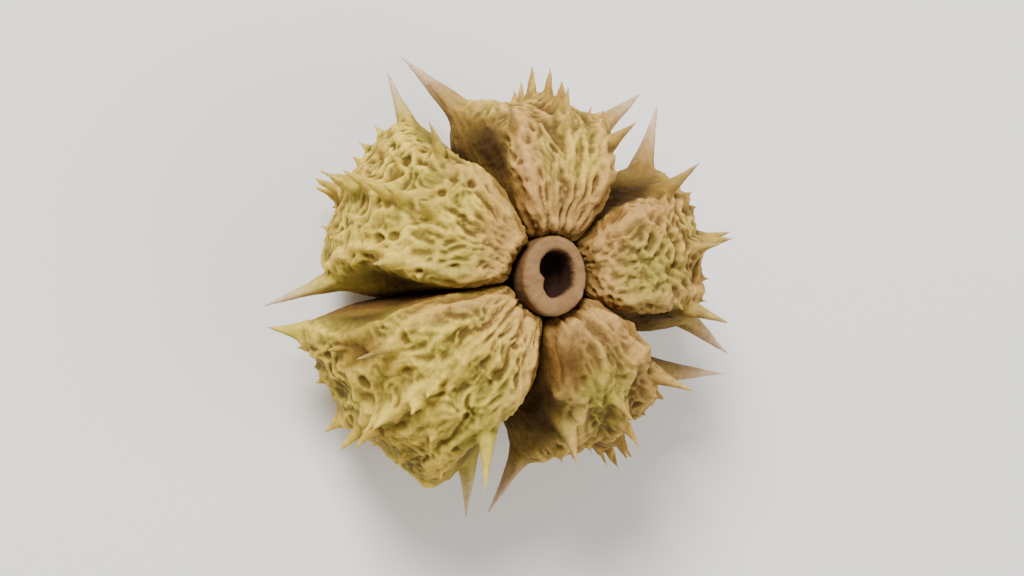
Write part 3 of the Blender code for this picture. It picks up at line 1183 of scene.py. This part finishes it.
@dataclass
class Stump:
    """The stump of the stalk: a thick, uneven ring round a hole, darkened with painted shade."""

    node: str = "stalk_stump"
    steps: int = 168
    hole_across: float = 0.42
    hole_along: float = 0.54
    hole_shift: tuple[float, float] = (0.04, 0.05)
    hole_depth: float = 0.9
    rim_fall: float = 0.16
    knob_turn: float = 3.5
    knob_height: float = 0.13
    seed: int = 77

    def outline(self, base: float, top: float) -> list[tuple[float, float]]:
        """Half of the stump's section, with 1 for its outer radius and 0.5 for the hole's.

        Args:
            base: The height of its base.
            top: The height of its rim.

        Returns:
            Radius and height for each point, from the base, over the rim, to the hole's floor.
        """
        section = [(share, base) for share in np.linspace(0.0, 0.8, 7)]
        section += [(0.88, base + 0.05), (0.95, base + 0.15), (0.99, base + 0.3)]
        section += [(1.0, z) for z in np.linspace(base + 0.4, top - self.rim_fall, 10)]
        for angle in np.linspace(0.15, math.pi - 0.15, 18):
            out = 0.75 + 0.25 * math.copysign(abs(math.cos(angle)) ** 0.7, math.cos(angle))
            section.append((out, top - self.rim_fall * (1 - math.sin(angle) ** 0.8)))
        for share in np.linspace(0.15, 1.0, 14):
            depth = self.rim_fall + share * (self.hole_depth - self.rim_fall)
            section.append((0.5 - 0.1 * share, top - depth))
        section += [(0.4 * share, top - self.hole_depth) for share in (0.7, 0.35, 0.0)]
        return section

    def spun(self, section: list[tuple[float, float]]) -> Mesh:
        """Turns a section round the fruit's axis.

        Args:
            section: Radius and height for each point.

        Returns:
            The closed mesh.
        """
        bm = bmesh.new()
        points = [bm.verts.new((radius, 0.0, z)) for radius, z in section]
        edges = [bm.edges.new(pair) for pair in zip(points, points[1:])]
        bmesh.ops.spin(
            bm,
            geom=points + edges,
            axis=(0.0, 0.0, 1.0),
            steps=self.steps,
            angle=math.tau,
            use_merge=True,
        )
        bmesh.ops.remove_doubles(bm, verts=bm.verts[:], dist=0.0005)
        bmesh.ops.recalc_face_normals(bm, faces=bm.faces[:])
        mesh = bpy.data.meshes.new(self.node + "_fibre")
        bm.to_mesh(mesh)
        bm.free()
        return mesh

    def build(self) -> Object:
        """Builds and dresses the stump.

        Returns:
            The stump's object, which stands for the frame's node.
        """
        low, high = (np.array(corner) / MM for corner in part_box(self.node))
        across, along = (high - low)[:2] / 2
        mesh = self.spun(self.outline(low[2], high[2] - 0.05))
        p = coordinates(mesh)
        turn = np.arctan2(p[:, 1], p[:, 0])
        ring = np.hypot(p[:, 0], p[:, 1])
        cos, sin = np.cos(turn), np.sin(turn)
        round_the_rim = np.stack((cos, sin, 0.3 * p[:, 2]), axis=1)
        lumps = clouds(round_the_rim, 0.45, self.seed + 1)
        fibres = clouds(round_the_rim * (1, 1, 2) + 0.15 * lumps[:, None], 0.13, self.seed)
        outer = 1 / np.hypot(cos / across, sin / along)
        outer *= 0.98 + 0.025 * lumps + 0.012 * fibres
        knob = self.knob_height * bump(self.knob_turn, 0.42, np.mod(turn, math.tau))
        inner = 1 / np.hypot(cos / self.hole_across, sin / self.hole_along)
        near_top = ramp(high[2] - 0.7, high[2] - 0.2, p[:, 2])
        inner += near_top * (-knob + 0.06 * lumps + 0.02 * fibres)
        share = np.clip(ring / 0.5 - 1, 0.0, 1.0)
        radius = np.where(ring < 0.5, inner * ring / 0.5, inner + share * (outer - inner))
        shift = (1 - share) * near_top
        top_face = ramp(high[2] - 0.4, high[2] - 0.12, p[:, 2])
        torn = 0.06 * lumps + 0.01 * fibres + 0.03 * clouds(p, 0.2, self.seed + 2) - 0.02
        p[:, 0] = radius * cos + shift * self.hole_shift[0]
        p[:, 1] = radius * sin + shift * self.hole_shift[1]
        p[:, 2] += top_face * torn
        move_to(mesh, p)

        # Painted shade in the hole, darker deeper down.
        inside = 1 - ramp(0.02, 0.3, share)
        blotches = clouds(p, 0.22, self.seed + 3)
        paint(
            mesh,
            rim=ramp(high[2] - 0.3, high[2] - 0.1, p[:, 2]),
            hole=inside * (1 - ramp(high[2] - 0.42, high[2] - 0.16, p[:, 2])),
            fibre=0.5 + 0.3 * fibres + 0.6 * lumps + 0.6 * blotches,
        )
        mesh.transform(Matrix.Scale(MM, 4))
        mesh.shade_smooth()
        stump = add_object(mesh.name, mesh)
        mesh.materials.append(DryStalk().material("Dry stalk"))
        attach(stump, "root")
        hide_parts(self.node)
        LOG.info("%s: %d faces", stump.name, len(mesh.polygons))
        return stump


@dataclass
class Studio:
    """A plain pale floor, soft lights and a camera that looks down at the stalk end."""

    lean: float = 17.0
    lens: float = 90.0
    fill: float = 0.84
    floor_colour: str = "#efece6"
    floor_size: float = 0.6
    sky_colour: str = "#f4f1ec"
    sky_strength: float = 0.55
    picture: tuple[int, int] = (1024, 576)

    def floor(self) -> None:
        """Lays the floor under the fruit."""
        bm = bmesh.new()
        bmesh.ops.create_grid(bm, x_segments=1, y_segments=1, size=self.floor_size)
        mesh = bpy.data.meshes.new("floor")
        bm.to_mesh(mesh)
        bm.free()
        material, tree = blank_material("Matt white card")
        tint = linear(self.floor_colour)
        shader = add_node(tree, "ShaderNodeBsdfPrincipled", Base_Color=tint, Roughness=0.9)
        add_node(tree, "ShaderNodeOutputMaterial", Surface=shader.outputs[0])
        mesh.materials.append(material)
        floor = add_object("floor", mesh)
        floor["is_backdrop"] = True

    def lights(self, centre: Vector) -> None:
        """Hangs the soft, square lights and sets the pale surroundings.

        Args:
            centre: The middle of the fruit, which the lights face.
        """
        for name, offset, size, watts in (
            ("key", (-0.05, 0.09, 0.11), 0.05, 0.42),
            ("fill", (0.11, -0.05, 0.09), 0.12, 0.16),
        ):
            lamp = bpy.data.lights.new(name, "AREA")
            lamp.size = size
            lamp.energy = watts
            place = centre + Vector(offset)
            obj = add_object(name, lamp)
            obj.location = place
            obj.rotation_euler = (place - centre).to_track_quat("Z", "Y").to_euler()
        world = bpy.data.worlds.new("studio")
        world.use_nodes = True
        sky = world.node_tree.nodes["Background"].inputs
        sky["Color"].default_value = linear(self.sky_colour)
        sky["Strength"].default_value = self.sky_strength
        bpy.context.scene.world = world

    def camera(self, centre: Vector, height: float) -> None:
        """Sets up the camera, leaning towards the left edge of the picture.

        Args:
            centre: The middle of the fruit.
            height: How much the picture's height takes in, in metres.
        """
        lens = bpy.data.cameras.new("camera")
        lens.lens = self.lens
        lean = math.radians(self.lean)
        right = Vector((math.cos(lean), 0.0, math.sin(lean)))
        up = Vector((0.0, 1.0, 0.0))
        back = Vector((-math.sin(lean), 0.0, math.cos(lean)))
        wide, tall = self.picture
        distance = height * self.lens / (lens.sensor_width * tall / wide)
        obj = add_object("camera", lens)
        turn = Matrix((right, up, back)).transposed().to_4x4()
        obj.matrix_world = Matrix.Translation(centre + back * distance) @ turn
        lens.clip_start = distance * 0.05
        lens.clip_end = distance * 20
        bpy.context.scene.camera = obj

    def build(self, low: Vector, high: Vector) -> None:
        """Sets the whole stage round the fruit.

        Args:
            low: The lowest corner of the fruit's box.
            high: Its highest corner.
        """
        centre = (low + high) / 2
        self.floor()
        self.lights(centre)
        self.camera(centre, (high - low).y / self.fill)
        LOG.info("stage: floor, lights and camera")


# Name, facing, right and left half in degrees, reach and half width in millimetres, tone,
# grain, seed, and patches of tint, x, y and radius.
NUTLETS = (
    Nutlet(
        "nutlet_1", 11.5, 38.5, 38.5, 4.05, 1.25, Tone.TAN, Grain.CROSSWISE, 11,
        (Patch(Tint.GREEN, 2.1, -0.4, 0.75),),
    ),
    Nutlet(
        "nutlet_2", 84.5, 34.5, 34.5, 3.9, 1.2, Tone.STRAW, Grain.WRINKLED, 23,
        (Patch(Tint.YELLOW, 2.6, -0.3, 0.5),),
    ),
    Nutlet(
        "nutlet_3", 154, 35, 35, 4.35, 1.4, Tone.YELLOW_GREEN, Grain.PITTED, 35,
        (Patch(Tint.YELLOW, 3.5, 0.6, 0.9), Patch(Tint.GREEN, 2.2, 0.9, 0.5)),
    ),
    Nutlet(
        "nutlet_4", 221, 32, 42, 4.95, 1.7, Tone.YELLOW_GREEN, Grain.WAVY, 47,
        (
            Patch(Tint.YELLOW, 4.0, -0.2, 1.1),
            Patch(Tint.GREEN, 3.4, 1.6, 0.7),
            # A brown hollow on the side by the split, where it lies in shade: painted shadow.
            Patch(Tint.BROWN, 4.2, -1.5, 0.35),
        ),
    ),
    Nutlet(
        "nutlet_5", 298, 35, 35, 4.05, 1.2, Tone.TAN, Grain.FURROWED, 59,
        (Patch(Tint.BROWN, 1.8, -0.7, 0.62), Patch(Tint.GREEN, 2.6, -0.3, 0.7)),
    ),
)


def main() -> None:
    """Builds the fruit round the frame, on its stage."""
    logging.basicConfig(level=logging.INFO, format="%(message)s")
    for obj in bpy.data.objects[:]:
        bpy.data.objects.remove(obj)
    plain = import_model()["nodes"]
    frame_low, frame_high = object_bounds()
    Studio().build(frame_low, frame_high)
    for nutlet in NUTLETS:
        nutlet.build(plain[nutlet.node])
    Stump().build()
    bpy.context.view_layer.update()


if __name__ == "__main__":
    main()
